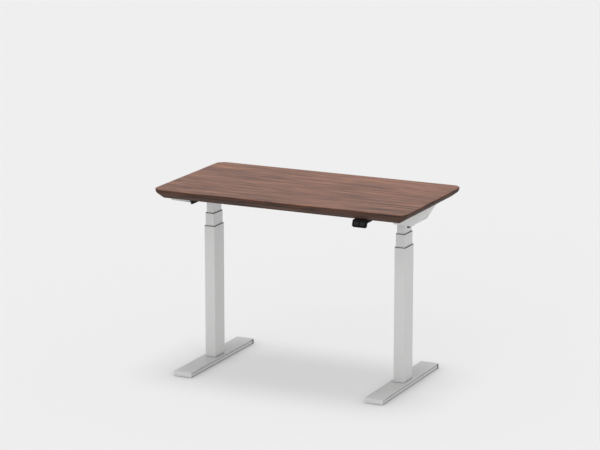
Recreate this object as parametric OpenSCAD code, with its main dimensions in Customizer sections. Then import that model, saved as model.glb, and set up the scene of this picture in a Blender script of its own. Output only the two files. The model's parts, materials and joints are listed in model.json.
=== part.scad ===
// Height adjustable standing desk: solid wood top with a bevelled underside on two
// three-stage lifting columns, driven by a motor and a telescopic spindle in each leg.
// Millimetres, +Z up. Origin on the floor, under the middle of the tabletop.
// +X runs along the desk, the user sits at -Y.

/* [Tabletop] */
// Width of the tabletop
top_w = 1120; // [1000:10:1400]
// Depth of the tabletop
top_d = 600; // [560:10:800]
// Thickness of the tabletop
top_t = 41; // [36:1:46]
// Height of the upright part of the tabletop's edge
edge_h = 15; // [10:1:20]
// How far the bevel under the edge runs in
bevel = 35; // [25:1:35]
// Corner radius of the tabletop's outline
corner_r = 38; // [38:1:60]
// Height of the tabletop's surface as the desk stands
desk_h = 786; // [776:1:800]

/* [Columns] */
// Distance from the middle of the desk to the middle of a column
leg_x = 432; // [380:1:440]
// Width of the outer tube
outer_w = 48; // [46:1:54]
// Depth of the outer tube
outer_d = 86; // [84:1:96]
// How much narrower each stage is, per side
stage_step = 3.5; // [3.4:0.1:3.8]
// Wall of the outer and middle tubes
tube_wall = 1.8; // [1.5:0.1:1.8]
// Corner radius of the tubes
tube_r = 3; // [2.5:0.5:4]
// Top of the outer tube
outer_top = 586; // [560:1:600]
// Top of the middle tube as the desk stands
middle_top = 641; // [630:1:648]
// Top of the inner tube as the desk stands
inner_top = 712; // [708:1:716]

/* [Feet] */
// Width of a foot
foot_w = 80; // [76:1:90]
// Height of the foot's beam
foot_h = 20; // [20:1:24]
// Gap under the foot's beam
foot_gap = 2; // [1:0.5:4]
// Reach of the foot in front of the column's middle
foot_front = 292; // [280:1:300]
// Reach of the foot behind the column's middle
foot_rear = 283; // [265:1:300]

/* [Side brackets] */
// Distance from the middle of the desk to the bracket's outer face
bracket_x = 496; // [494:1:500]
// Thickness of the bracket's steel
bracket_t = 3; // [2.5:0.5:4]
// Depth of the bracket's wall below the tabletop
bracket_drop = 56; // [56:1:60]
// Length of the wall's level bottom edge
bracket_flat = 158; // [140:2:180]
// Reach of the bracket in front of the column's middle
bracket_front = 252; // [230:1:260]
// Reach of the bracket behind the column's middle
bracket_rear = 215; // [200:1:260]

/* [Frame and drive] */
// Width of a cross rail
rail_w = 30; // [25:1:35]
// Height of a cross rail
rail_h = 25; // [20:1:28]
// Distance from the middle of the desk to the middle of a cross rail
rail_y = 50; // [48:1:56]
// Radius of the upper spindle
spindle_r = 5.5; // [5:0.1:5.5]
// Radius of the motor's can
motor_r = 20; // [16:0.5:20]

/* [Control] */
// Distance from the middle of the desk to the middle of the handset
handset_x = 360; // [250:1:370]
// Width of the handset's face
handset_w = 61; // [60:1:75]
// Length of the control box
box_w = 220; // [180:1:260]
// Depth of the control box
box_d = 90; // [80:1:100]

/* [Hidden] */
$fn = 64;
LEFT = -1;
RIGHT = 1;

// Gap between plastic guides and the tube that slides on them
slide_gap = 0.1;
// Gap between a screw's shank and its threaded hole
thread_gap = 0.05;

// Tabletop
under_z = desk_h - top_t;
arris_r = 2.5;
bevel_lean = atan(bevel / (top_t - edge_h));
edge_blend_r = (edge_h - arris_r - 0.5) / tan(bevel_lean / 2);
bevel_blend_r = 8.5;

// Tubes
middle_w = outer_w - 2 * stage_step;
middle_d = outer_d - 2 * stage_step;
inner_w = middle_w - 2 * stage_step;
inner_d = middle_d - 2 * stage_step;
inner_wall = 2;
middle_bottom = 72;
inner_bottom = 118;
collar_h = 2.2;
collar_skirt = 38;
guide_h = 50;

// Feet
foot_top = foot_gap + foot_h;
foot_plate = 2.5;
lip_h = 3;
end_plate = 3;
cap_l = 10;
cap_insert = 16;
groove_d = 5;
groove_h = 4;
undercut_d = 4;
undercut_h = 3.5;
foot_wall_x = foot_w / 2 - groove_d - 2.5;
front_glide_y = -262;
rear_glide_y = 228;
glide_pad_r = 15;
glide_pad_h = 5;
glide_stud_r = 4;
glide_boss_r = 9;
glide_boss_z = 7;
base_plate_h = 6;
base_gap = 1.2;
base_inset = 4.5;
foot_screw_x = 12;
foot_screw_y = 32;
foot_screw_r = 2.95;

// Telescopic spindle, from the middle outwards
hollow_bore_r = 6.2;
hollow_r = 9;
stand_bore_r = 9.8;
stand_r = 11;
push_bore_r = 11.6;
push_r = 13.5;
nut_gap = 0.06;
base_nut_top = 330;
base_nut_h = 32;
hollow_bottom = 64;
push_top = 598;
bearing_h = 9;
spindle_nut_h = 24;
spindle_bottom = 356;
spindle_top = 736;

// Side bracket and hem plug
flange_z = under_z - bracket_t;
bracket_low = under_z - bracket_drop;
bracket_front_h = 8.5;
bracket_rear_h = 4;
pad_x = 345;
pad_half = 75;
flange_w = 60;
hem_w = 9;
hem_h = 10;
hem_wall = 1.5;
plug_l = 40;
plug_drop = 3;

// Frame
rail_wall = 2;
rail_half = 402;
rail_top = flange_z;
rail_low = flange_z - rail_h;
rail_bolt_x = [360, 388];
bolt_r = 2.95;
gear_plate_h = 4;
gear_plate_d = 108;
gear_bolt_y = 47;
gear_bolt_x = 9;
motor_x = leg_x + 35.5;
motor_z = 719;
worm_front = -70;
worm_rear = -26;
worm_w = 2 * motor_r - 4;
worm_h = 2 * motor_r - 2;
motor_rear = 76;

// Screws into the tabletop: distance from the middle of the desk, and Y
bracket_screws = [[462, -228], [462, -140], [462, 140], [462, 198], [356, -22], [356, 22]];
screw_r = 2;
screw_head_r = 4.5;
screw_head_h = 2.5;
screw_depth = 18;

// Control box, its screws and its sockets
box_y = 155;
box_low = 707;
ear = 14;
box_r = 5;
socket_z = 722;
socket_x = [-60, 0, 60];
socket_w = 12;
socket_h = 9;
plug_out = 9;
inlet_x = 55;
inlet_z = 725;
inlet_w = 27;
inlet_h = 20;
inlet_depth = 20;

// Handset: its face leans back from its lower edge
face_top_y = -277;
face_top_z = 747;
face_tilt = 19.4;
face_h = 32;
face_r = 8;
face_t = 11;
button_w = 20;
button_h = 14;
button_x = 13;
button_z = -17.5;
button_out = 1.2;
button_gap = 0.2;
housing_rear = -214;
housing_low = 731;

// Leads, as points along their middle line
lead_r = 2.5;
handset_lead_r = 2;
lead_sides = 8;
right_lead_route = [
    [467, 76, 722], [467, 84, 722], [466, 91, 724], [461, 98, 727], [452, 102, 731], [440, 102, 735],
    [426, 99, 737], [412, 94, 738], [398, 89, 738], [384, 86, 738], [368, 84, 738], [300, 84, 738],
    [220, 84, 738], [140, 84, 738], [112, 84, 737], [99, 84, 734], [87, 84, 730], [76, 85, 726],
    [67, 88, 723], [62, 91, 722], [60, 95, 722], [60, 101, 722]
];
left_lead_route = [for (p = right_lead_route) [-p[0], p[1], p[2]]];
handset_lead_route = [
    [352, -214, 738], [352, -206, 738], [352, -190, 738], [352, -160, 738], [352, -130, 738],
    [352, -104, 738], [352, -92, 736], [352, -83, 731], [351, -76, 724], [350, -69, 718],
    [348, -61, 714], [344, -50, 713], [336, -34, 713], [318, -10, 713], [292, 14, 713], [262, 32, 713],
    [228, 44, 713], [190, 52, 713], [150, 58, 713], [110, 62, 713], [76, 65, 713], [50, 67, 714],
    [30, 70, 716], [15, 76, 719], [5, 84, 721], [1, 90, 722], [0, 95, 722],
    [0, 101, 722]
];
// Clips: X and Y of the lead's middle, and the direction in which the lead runs
motor_clip_x = [180, 330];
handset_clip_y = -150;
clip_z = 738;
clip_wall = 1.8;
clip_l = 8;

// ---------- helpers ----------

function unit(v) = v / norm(v);
// Points of a fillet of radius r where the outline turns at b, going from a to c
function fillet(a, b, c, r, n = 6) =
    let(
        d1 = unit(a - b),
        d2 = unit(c - b),
        half = acos(d1 * d2) / 2,
        centre = b + unit(d1 + d2) * r / sin(half),
        t1 = b + d1 * r / tan(half) - centre,
        t2 = b + d2 * r / tan(half) - centre,
        a1 = atan2(t1[1], t1[0]),
        raw = atan2(t2[1], t2[0]) - a1,
        turn = raw > 180 ? raw - 360 : raw < -180 ? raw + 360 : raw
    )
    [for (i = [0:n]) centre + r * [cos(a1 + turn * i / n), sin(a1 + turn * i / n)]];

// Flat rounded rectangle about the origin
module rounded_rect(w, d, r) {
    square([w - 2 * r, d], center = true);
    square([w, d - 2 * r], center = true);
    for (sx = [-1, 1], sy = [-1, 1])
        translate([sx * (w / 2 - r), sy * (d / 2 - r)])
            circle(r);
}

// Upright rectangular tube: r is the corner radius outside
module tube(w, d, wall, r, low, high) {
    translate([0, 0, low])
        linear_extrude(high - low)
            difference() {
                rounded_rect(w, d, r);
                rounded_rect(w - 2 * wall, d - 2 * wall, max(r - wall, 0.3));
            }
}

module box(low, high) {
    translate(low)
        cube(high - low);
}

module rod(r, low, high) {
    translate([0, 0, low])
        cylinder(r = r, h = high - low);
}

module ring(r, bore, low, high) {
    difference() {
        rod(r, low, high);
        rod(bore, low - 1, high + 1);
    }
}

// Puts a shape built about a column's middle line on the left or right column
module at_column(side) {
    mirror([side == LEFT ? 1 : 0, 0, 0])
        translate([leg_x, 0, 0])
            children();
}

// Mirrors a shape built on the right of the desk to the left
module on_side(side) {
    mirror([side == LEFT ? 1 : 0, 0, 0])
        children();
}

// Round tube swept along a list of points
module swept_lead(route, r, up = [0, 0, 1]) {
    n = lead_sides;
    last = len(route) - 1;
    points = [
        for (i = [0:last])
            let(
                along = unit(route[min(i + 1, last)] - route[max(i - 1, 0)]),
                side = unit(cross(along, up)),
                over = cross(side, along)
            )
            for (k = [0:n - 1]) route[i] + r * (side * cos(360 * k / n) + over * sin(360 * k / n))
    ];
    walls = [
        for (i = [0:last - 1], k = [0:n - 1])
            let(a = i * n + k, b = i * n + (k + 1) % n)
            each [[a, b, b + n], [a, b + n, a + n]]
    ];
    start = [for (k = [0:n - 1]) n - 1 - k];
    finish = [for (k = [0:n - 1]) last * n + k];
    polyhedron(points, concat(walls, [start, finish]));
}

// ---------- tabletop and frame ----------

// Section of the tabletop's edge: X outwards from the corner's centre, Y upwards
function edge_section() =
    let(
        inner = [0, 0],
        toe = [corner_r - bevel, 0],
        knee = [corner_r, top_t - edge_h],
        arris = [corner_r, top_t]
    )
    concat(
        [inner],
        fillet(inner, toe, knee, bevel_blend_r, 5),
        fillet(toe, knee, arris, edge_blend_r, 8),
        fillet(knee, arris, [0, top_t], arris_r, 6),
        [[0, top_t]]
    );

module tabletop() {
    side_w = top_w - 2 * corner_r;
    side_d = top_d - 2 * corner_r;
    color("saddlebrown")
        difference() {
            translate([0, 0, under_z]) {
                translate([-side_w / 2, -side_d / 2, 0])
                    cube([side_w, side_d, top_t]);
                for (turn = [0, 180])
                    rotate([0, 0, turn]) {
                        translate([side_w / 2, side_d / 2, 0])
                            rotate([90, 0, 0])
                                linear_extrude(side_d)
                                    polygon(edge_section());
                        translate([-side_w / 2, side_d / 2, 0])
                            rotate([90, 0, 90])
                                linear_extrude(side_w)
                                    polygon(edge_section());
                    }
                for (sx = [0, 1], sy = [0, 1])
                    mirror([sx, 0, 0])
                        mirror([0, sy, 0])
                            translate([side_w / 2, side_d / 2, 0])
                                rotate_extrude(angle = 90)
                                    polygon(edge_section());
            }
            at_top_screws()
                rod(screw_r + thread_gap, under_z - 1, under_z + screw_depth + 1);
        }
}

module at_top_screws() {
    for (side = [LEFT, RIGHT], p = bracket_screws)
        translate([side * p[0], p[1], 0])
            children();
    for (side = [LEFT, RIGHT])
        translate([side * (box_w / 2 + ear / 2), box_y, 0])
            children();
    for (side = [LEFT, RIGHT])
        translate([handset_x + side * 20, -238, 0])
            children();
}

module side_bracket(side) {
    half = bracket_flat / 2;
    wall_in = bracket_x - bracket_t;
    front_end = [-bracket_front, under_z - bracket_front_h];
    front_bend = [-half, bracket_low];
    rear_bend = [half, bracket_low];
    rear_end = [bracket_rear, under_z - bracket_rear_h];
    color("gainsboro")
        on_side(side) {
            // Upright outer wall
            translate([wall_in, 0, 0])
                rotate([90, 0, 90])
                    linear_extrude(bracket_t)
                        polygon(concat(
                            [[-bracket_front, under_z], front_end],
                            fillet(front_end, front_bend, rear_bend, 20, 4),
                            fillet(front_bend, rear_bend, rear_end, 20, 4),
                            [rear_end, [bracket_rear, under_z]]
                        ));
            // Flange against the tabletop, wide where the column and rails are
            difference() {
                union() {
                    box([bracket_x - flange_w, -bracket_front, flange_z], [bracket_x, bracket_rear, under_z]);
                    box([pad_x, -pad_half, flange_z], [bracket_x, pad_half, under_z]);
                }
                for (p = bracket_screws)
                    translate([p[0], p[1], 0])
                        rod(screw_r + 0.6, flange_z - 1, under_z + 1);
                for (x = rail_bolt_x, y = [-rail_y, rail_y])
                    translate([x, y, 0])
                        rod(bolt_r + thread_gap, flange_z - 1, under_z + 1);
                for (x = [-gear_bolt_x, gear_bolt_x], y = [-gear_bolt_y, gear_bolt_y])
                    translate([leg_x + x, y, 0])
                        rod(bolt_r + thread_gap, flange_z - 1, under_z + 1);
            }
            // Hollow hem along the foot of the wall, open to the plug at its front
            difference() {
                box([wall_in - hem_w, plug_l - half, bracket_low], [wall_in, half, bracket_low + hem_h]);
                box(
                    [wall_in - hem_w + hem_wall, plug_l - half - 1, bracket_low + hem_wall],
                    [wall_in - hem_wall, half + 1, bracket_low + hem_h - hem_wall]
                );
            }
        }
}

// Black plugs that close the front end of each hem
module bracket_plugs() {
    half = bracket_flat / 2;
    wall_in = bracket_x - bracket_t;
    head_x = wall_in - hem_w / 2 - 0.5;
    color("black")
        for (side = [LEFT, RIGHT])
            on_side(side) {
                translate([head_x, 0, bracket_low - plug_drop])
                    linear_extrude(hem_h + plug_drop)
                        translate([0, plug_l / 2 - half - 8])
                            rounded_rect(hem_w - 1, plug_l + 15, 2);
                box(
                    [wall_in - hem_w + hem_wall + 0.1, plug_l - half - 2, bracket_low + hem_wall + 0.1],
                    [wall_in - hem_wall - 0.1, plug_l - half + 14, bracket_low + hem_h - hem_wall - 0.1]
                );
            }
}

module cross_rail(y) {
    color("gainsboro")
        difference() {
            translate([-rail_half, y, rail_low + rail_h / 2])
                rotate([90, 0, 90])
                    linear_extrude(2 * rail_half)
                        difference() {
                            rounded_rect(rail_w, rail_h, 3);
                            rounded_rect(rail_w - 2 * rail_wall, rail_h - 2 * rail_wall, 1);
                        }
            for (side = [LEFT, RIGHT], x = rail_bolt_x)
                translate([side * x, y, 0])
                    rod(bolt_r + 0.3, rail_low - 1, rail_top + 1);
        }
}

// Button head bolt with a hexagon socket; the head hangs below head_top
module bolt(r, head_r, head_h, head_top, shank_top) {
    difference() {
        rod(head_r, head_top - head_h, head_top);
        translate([0, 0, head_top - head_h - 1])
            cylinder(r = r * 0.9, h = head_h * 0.6 + 1, $fn = 6);
    }
    rod(r, head_top, shank_top);
}

module frame_bolts() {
    color("dimgray")
        for (side = [LEFT, RIGHT]) {
            for (x = rail_bolt_x, y = [-rail_y, rail_y])
                translate([side * x, y, 0])
                    bolt(bolt_r, 5.2, 3.5, rail_low, under_z - 0.2);
            for (x = [-gear_bolt_x, gear_bolt_x], y = [-gear_bolt_y, gear_bolt_y])
                translate([side * (leg_x + x), y, 0])
                    bolt(bolt_r, 5.2, 3.5, flange_z - gear_plate_h, under_z - 0.2);
        }
}

module wood_screw(head_top) {
    difference() {
        rod(screw_head_r, head_top - screw_head_h, head_top);
        for (turn = [0, 90])
            rotate([0, 0, turn])
                translate([0, 0, head_top - screw_head_h])
                    cube([5, 1.1, 2.4], center = true);
    }
    rod(screw_r, head_top, under_z + screw_depth);
}

module top_screws() {
    color("silver") {
        for (side = [LEFT, RIGHT], p = bracket_screws)
            translate([side * p[0], p[1], 0])
                wood_screw(flange_z);
        for (side = [LEFT, RIGHT])
            translate([side * (box_w / 2 + ear / 2), box_y, 0])
                wood_screw(under_z - 3);
        for (side = [LEFT, RIGHT])
            translate([handset_x + side * 20, -238, 0])
                wood_screw(housing_low + 4);
    }
}

// ---------- drive ----------

// Gearbox over the column, with the worm's housing beside it
module gearbox(side) {
    top_z = flange_z;
    spigot_w = inner_w - 2 * inner_wall - 0.2;
    spigot_d = inner_d - 2 * inner_wall - 0.2;
    color("dimgray")
        at_column(side)
            difference() {
                union() {
                    translate([0, 0, inner_top])
                        linear_extrude(top_z - inner_top)
                            rounded_rect(inner_w + 4, inner_d, 4);
                    translate([0, 0, inner_top - 18])
                        linear_extrude(20)
                            rounded_rect(spigot_w, spigot_d, 2);
                    translate([0, 0, top_z - gear_plate_h])
                        linear_extrude(gear_plate_h)
                            rounded_rect(inner_w + 4, gear_plate_d, 6);
                    translate([motor_x - leg_x, worm_rear, motor_z])
                        rotate([90, 0, 0])
                            linear_extrude(worm_rear - worm_front)
                                rounded_rect(worm_w, worm_h, 6);
                    box([0, -35, inner_top + 4], [motor_x - leg_x, worm_rear, top_z]);
                }
                rod(spindle_r + 0.5, inner_top - 20, spindle_top + 1);
                // Cradle that the motor lies in
                translate([motor_x - leg_x, motor_rear, motor_z])
                    rotate([90, 0, 0])
                        cylinder(r = motor_r + 0.5, h = motor_rear - worm_rear);
                for (x = [-gear_bolt_x, gear_bolt_x], y = [-gear_bolt_y, gear_bolt_y])
                    translate([x, y, 0])
                        rod(bolt_r + 0.3, top_z - gear_plate_h - 30, top_z + 1);
            }
}

// Motor can with its end cap and the lead's exit
module motor(side) {
    color("black")
        on_side(side)
            translate([motor_x, 0, motor_z]) {
                translate([0, motor_rear - 14, 0])
                    rotate([90, 0, 0])
                        cylinder(r = motor_r - 1, h = motor_rear - 14 - worm_rear);
                translate([0, motor_rear, 0])
                    rotate([90, 0, 0])
                        cylinder(r = motor_r, h = 14);
            }
}

module inner_tube(side) {
    color("gainsboro")
        at_column(side)
            tube(inner_w, inner_d, inner_wall, tube_r, inner_bottom, inner_top);
}

// Plastic guides on the lower end of both inner tubes, filling the gap to the middle tube
module inner_tube_guides() {
    color("black")
        for (side = [LEFT, RIGHT])
            at_column(side)
                guide_sleeve(inner_w, inner_d, inner_bottom);
}

// Sleeve round the lower end of a tube, clear of the tube outside it by slide_gap
module guide_sleeve(w, d, low) {
    grow = stage_step - tube_wall - slide_gap;
    tube(w + 2 * grow, d + 2 * grow, grow, tube_r + grow, low, low + guide_h);
}

// Dark collar on the top of a tube, clear of the tube inside it by slide_gap
module collar(w, d, top) {
    step = stage_step - slide_gap;
    skirt = tube_wall + 0.1;
    tube(w, d, step, tube_r, top, top + collar_h);
    tube(w - 2 * skirt, d - 2 * skirt, step - skirt, tube_r - skirt, top - collar_skirt, top);
}

module middle_tube(side) {
    color("gainsboro")
        at_column(side)
            tube(middle_w, middle_d, tube_wall, tube_r, middle_bottom, middle_top);
}

module middle_collar(side) {
    color("black")
        at_column(side)
            collar(middle_w, middle_d, middle_top);
}

module middle_guides(side) {
    color("black")
        at_column(side)
            guide_sleeve(middle_w, middle_d, middle_bottom);
}

// Tube that stands on a plate in the foot of the middle tube and carries the spindle nut
module push_tube(side) {
    plate_gap = 0.05;
    color("silver")
        at_column(side) {
            difference() {
                translate([0, 0, middle_bottom])
                    linear_extrude(8)
                        rounded_rect(
                            middle_w - 2 * tube_wall - plate_gap,
                            middle_d - 2 * tube_wall - plate_gap,
                            tube_r - tube_wall
                        );
                rod(push_bore_r, middle_bottom - 1, middle_bottom + 9);
            }
            ring(push_r, push_bore_r, middle_bottom + 8, push_top);
        }
}

module spindle_bearing(side) {
    color("silver")
        at_column(side)
            difference() {
                ring(push_bore_r - 0.02, hollow_r + 0.05, push_top - bearing_h - 3, push_top - 3);
                // Seal groove in the upper face
                ring(push_bore_r - 0.8, hollow_r + 0.8, push_top - 3.6, push_top - 2);
            }
}

// Bronze nut in a flanged cap on top of the push tube
module spindle_nut(side) {
    color("goldenrod")
        at_column(side) {
            ring(push_r, spindle_r + nut_gap, push_top, push_top + spindle_nut_h);
        }
}

// Threaded rod: the thread is drawn as its pitch cylinder, with a driving square at the top
module upper_spindle(side) {
    color("silver")
        at_column(side) {
            rod(spindle_r, spindle_bottom, spindle_top - 16);
            translate([-3.5, -3.5, spindle_top - 16])
                cube([7, 7, 16]);
            translate([0, 0, spindle_bottom - 2])
                cylinder(r1 = spindle_r - 2, r2 = spindle_r, h = 2);
        }
}

module hollow_spindle(side) {
    color("silver")
        at_column(side)
            ring(hollow_r, hollow_bore_r, hollow_bottom, push_top - 3);
}

// ---------- base ----------

module outer_tube(side) {
    color("gainsboro")
        at_column(side) {
            tube(outer_w, outer_d, tube_wall, tube_r, foot_top + base_gap, outer_top);
            difference() {
                union() {
                    // Step of the base plate that the tube seems to float on
                    translate([0, 0, foot_top])
                        linear_extrude(base_plate_h)
                            rounded_rect(outer_w - 2 * base_inset, outer_d - 2 * base_inset, 2);
                    translate([0, 0, foot_top + base_gap])
                        linear_extrude(base_plate_h - base_gap)
                            rounded_rect(outer_w - tube_wall, outer_d - tube_wall, tube_r - tube_wall / 2);
                }
                at_foot_screws()
                    rod(foot_screw_r + thread_gap, foot_top - 1, foot_top + base_plate_h + 1);
            }
        }
}

module at_foot_screws() {
    for (sx = [-1, 1], sy = [-1, 1])
        translate([sx * foot_screw_x, sy * foot_screw_y, 0])
            children();
}

module outer_collar(side) {
    color("black")
        at_column(side)
            collar(outer_w, outer_d, outer_top);
}

// Fixed tube on the column's base plate, with the base nut at its top
module stand_tube(side) {
    low = foot_top + base_plate_h;
    color("silver")
        at_column(side) {
            ring(stand_r, stand_bore_r, low, base_nut_top - base_nut_h);
            ring(stand_r + 4, stand_bore_r, low, low + 3);
        }
}

module base_nut(side) {
    color("goldenrod")
        at_column(side)
            ring(stand_r, hollow_r + nut_gap, base_nut_top - base_nut_h, base_nut_top);
}

// Right half of the foot's outer section, from the top down: lip, groove, band, base
function foot_half_section() =
    let(
        w = foot_w / 2,
        top = foot_top,
        low = foot_gap,
        groove_top = top - lip_h,
        band_top = groove_top - groove_h,
        band_low = low + undercut_h
    )
    [
        [0, top], [w - 1, top], [w, top - 1], [w, groove_top], [w - groove_d, groove_top],
        [w - groove_d, band_top], [w - 1.2, band_top], [w - 0.5, band_top - 0.7], [w - 0.5, band_low + 0.7],
        [w - 1.2, band_low], [w - undercut_d, band_low], [w - undercut_d, low], [0, low]
    ];

module foot_section() {
    polygon(foot_half_section());
    mirror([1, 0])
        polygon(foot_half_section());
}

module foot(side) {
    beam_rear = foot_rear - cap_l;
    hollow_low = foot_gap + 2;
    hollow_high = foot_top - foot_plate;
    color("gainsboro")
        at_column(side)
            difference() {
                union() {
                    translate([0, beam_rear, 0])
                        rotate([90, 0, 0])
                            linear_extrude(beam_rear + foot_front - end_plate)
                                foot_section();
                    // Flush plate that closes the front
                    translate([0, end_plate - foot_front, foot_gap + foot_h / 2])
                        rotate([90, 0, 0])
                            linear_extrude(end_plate)
                                rounded_rect(foot_w, foot_h, 1.5);
                    // Top skin that runs on over the rear cap
                    box([-foot_w / 2, beam_rear - 1, foot_top - lip_h], [foot_w / 2, foot_rear, foot_top]);
                }
                difference() {
                    box(
                        [-foot_wall_x, end_plate - foot_front, hollow_low],
                        [foot_wall_x, beam_rear + 1, hollow_high - 0.5]
                    );
                    for (y = [front_glide_y, rear_glide_y])
                        translate([0, y, 0])
                            rod(glide_boss_r, glide_boss_z, foot_top);
                }
                for (y = [front_glide_y, rear_glide_y])
                    translate([0, y, 0]) {
                        rod(glide_pad_r + 1.5, foot_gap - 1, glide_boss_z - 1);
                        rod(glide_stud_r + thread_gap, glide_boss_z - 2, hollow_high);
                    }
                at_foot_screws() {
                    rod(foot_screw_r + 0.35, hollow_high - 2, foot_top + 1);
                    rod(8, foot_gap - 1, hollow_low + 1);
                }
            }
}

module foot_screws(side) {
    seat = foot_top - foot_plate - 0.5;
    color("dimgray")
        at_column(side)
            at_foot_screws()
                bolt(foot_screw_r, 5.2, 5, seat, foot_top + base_plate_h - 0.3);
}

// Black cap in the rear end of the foot, under the top skin
module foot_cap(side) {
    beam_rear = foot_rear - cap_l;
    color("black")
        at_column(side) {
            difference() {
                box([-foot_w / 2 + 0.5, beam_rear, foot_gap], [foot_w / 2 - 0.5, foot_rear, foot_top - lip_h]);
                // Shallow panel in the cap's end face
                box(
                    [-foot_w / 2 + 6, foot_rear - 0.8, foot_gap + 4],
                    [foot_w / 2 - 6, foot_rear + 1, foot_top - lip_h - 4]
                );
            }
            difference() {
                box(
                    [0.1 - foot_wall_x, beam_rear - cap_insert, foot_gap + 2.1],
                    [foot_wall_x - 0.1, beam_rear, foot_top - foot_plate - 0.6]
                );
                box(
                    [2.1 - foot_wall_x, beam_rear - cap_insert - 1, foot_gap + 4.1],
                    [foot_wall_x - 2.1, beam_rear - 1, foot_top - foot_plate - 2.6]
                );
            }
        }
}

// Screw-in levelling glide
module glide(side, y) {
    color("black")
        at_column(side)
            translate([0, y, 0]) {
                translate([0, 0, 1])
                    cylinder(r = glide_pad_r, h = glide_pad_h - 1);
                cylinder(r1 = glide_pad_r - 1, r2 = glide_pad_r, h = 1);
                rod(glide_stud_r, glide_pad_h, foot_top - foot_plate - 0.8);
            }
}

// ---------- control ----------

module control_box() {
    front = box_y - box_d / 2;
    rear = box_y + box_d / 2;
    color("black")
        difference() {
            union() {
                translate([0, box_y, box_low])
                    linear_extrude(under_z - box_low)
                        rounded_rect(box_w, box_d, box_r);
                translate([0, box_y, under_z - 3])
                    linear_extrude(3)
                        rounded_rect(box_w + 2 * ear, 24, 4);
            }
            // Sockets for the leads
            for (x = socket_x)
                box(
                    [x - socket_w / 2 - 0.1, front - 1, socket_z - socket_h / 2 - 0.1],
                    [x + socket_w / 2 + 0.1, front + 8, socket_z + socket_h / 2 + 0.1]
                );
            // Pocket for the power inlet
            box(
                [inlet_x - inlet_w / 2 - 0.1, rear - inlet_depth, inlet_z - inlet_h / 2 - 0.1],
                [inlet_x + inlet_w / 2 + 0.1, rear + 1, inlet_z + inlet_h / 2 + 0.1]
            );
            // Cooling slots along the underside
            for (i = [-7:7])
                box([i * 9 - 1.5 - 20, box_y - 28, box_low - 1], [i * 9 + 1.5 - 20, box_y + 14, box_low + 2]);
            for (side = [LEFT, RIGHT])
                translate([side * (box_w / 2 + ear / 2), box_y, 0])
                    rod(screw_r + 0.6, under_z - 4, under_z + 1);
        }
}

// Appliance inlet with three flat pins
module power_inlet() {
    rear = box_y + box_d / 2;
    wall = 1.5;
    color("dimgray") {
        difference() {
            box(
                [inlet_x - inlet_w / 2, rear - inlet_depth + 0.1, inlet_z - inlet_h / 2],
                [inlet_x + inlet_w / 2, rear + 1.2, inlet_z + inlet_h / 2]
            );
            box(
                [inlet_x - inlet_w / 2 + wall, rear - 15, inlet_z - inlet_h / 2 + wall],
                [inlet_x + inlet_w / 2 - wall, rear + 2, inlet_z + inlet_h / 2 - wall]
            );
        }
        for (p = [[-7, -2], [0, 2], [7, -2]])
            box(
                [inlet_x + p[0] - 1, rear - 16, inlet_z + p[1] - 2],
                [inlet_x + p[0] + 1, rear - 6, inlet_z + p[1] + 2]
            );
    }
}

// Plugs on the ends of the three leads
module lead_plugs() {
    front = box_y - box_d / 2;
    color("dimgray")
        for (x = socket_x)
            difference() {
                box(
                    [x - socket_w / 2, front - plug_out, socket_z - socket_h / 2],
                    [x + socket_w / 2, front + 7, socket_z + socket_h / 2]
                );
                // Finger ribs on top
                for (i = [0:2])
                    box(
                        [x - socket_w / 2 - 1, front - plug_out + 2 + 2 * i, socket_z + socket_h / 2 - 0.6],
                        [x + socket_w / 2 + 1, front - plug_out + 3 + 2 * i, socket_z + socket_h / 2 + 1]
                    );
            }
}

module cable_clips() {
    color("black") {
        for (side = [LEFT, RIGHT], x = motor_clip_x)
            translate([side * x, 84, clip_z])
                rotate([90, 0, 90])
                    clip(lead_r);
        translate([352, handset_clip_y, clip_z])
            rotate([90, 0, 0])
                clip(handset_lead_r);
    }
}

// Saddle clip about a lead that runs along Z, stuck to a surface at +Y
module clip(r) {
    outer = r + 0.3 + clip_wall;
    reach = under_z - clip_z;
    translate([0, 0, -clip_l / 2])
        linear_extrude(clip_l)
            difference() {
                union() {
                    circle(outer);
                    translate([-outer, 0])
                        square([2 * outer, reach]);
                    translate([-outer - 4, reach - 1.5])
                        square([2 * outer + 8, 1.5]);
                }
                circle(r + 0.3);
            }
}

module in_face() {
    translate([handset_x, face_top_y, face_top_z])
        rotate([-face_tilt, 0, 0])
            children();
}

module handset_housing() {
    color("black")
        difference() {
            union() {
                // Face plate
                in_face()
                    translate([0, face_t, -face_h / 2])
                        rotate([90, 0, 0])
                            linear_extrude(face_t)
                                rounded_rect(handset_w, face_h, face_r);
                // Housing under the tabletop
                translate([handset_x, (face_top_y + 6 + housing_rear) / 2, housing_low])
                    linear_extrude(under_z - housing_low)
                        rounded_rect(handset_w - 5, housing_rear - face_top_y - 6, 5);
            }
            // Nothing of the face plate stands above the underside behind the bevel
            box([handset_x - 50, bevel - top_d / 2 - 3, under_z], [handset_x + 50, 0, under_z + 20]);
            in_face()
                for (side = [-1, 1])
                    translate([side * button_x, 6, button_z])
                        rotate([90, 0, 0])
                            linear_extrude(8)
                                rounded_rect(button_w + 2 * button_gap, button_h + 2 * button_gap, 3.2);
            for (side = [LEFT, RIGHT])
                translate([handset_x + side * 20, -238, 0]) {
                    rod(screw_head_r + 0.5, housing_low - 1, housing_low + 4);
                    rod(screw_r + 0.4, housing_low, under_z + 1);
                }
        }
}

// Push button with a raised arrow, pointing up or down
module button(side, points_up) {
    color("dimgray")
        in_face()
            translate([side * button_x, 0, button_z]) {
                translate([0, 4, 0])
                    rotate([90, 0, 0])
                        linear_extrude(4 + button_out)
                            rounded_rect(button_w, button_h, 3);
                translate([0, -button_out, 0])
                    rotate([90, points_up ? 0 : 180, 0])
                        linear_extrude(0.3)
                            polygon([[-3.2, -1.8], [3.2, -1.8], [0, 2.2]]);
            }
}

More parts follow.
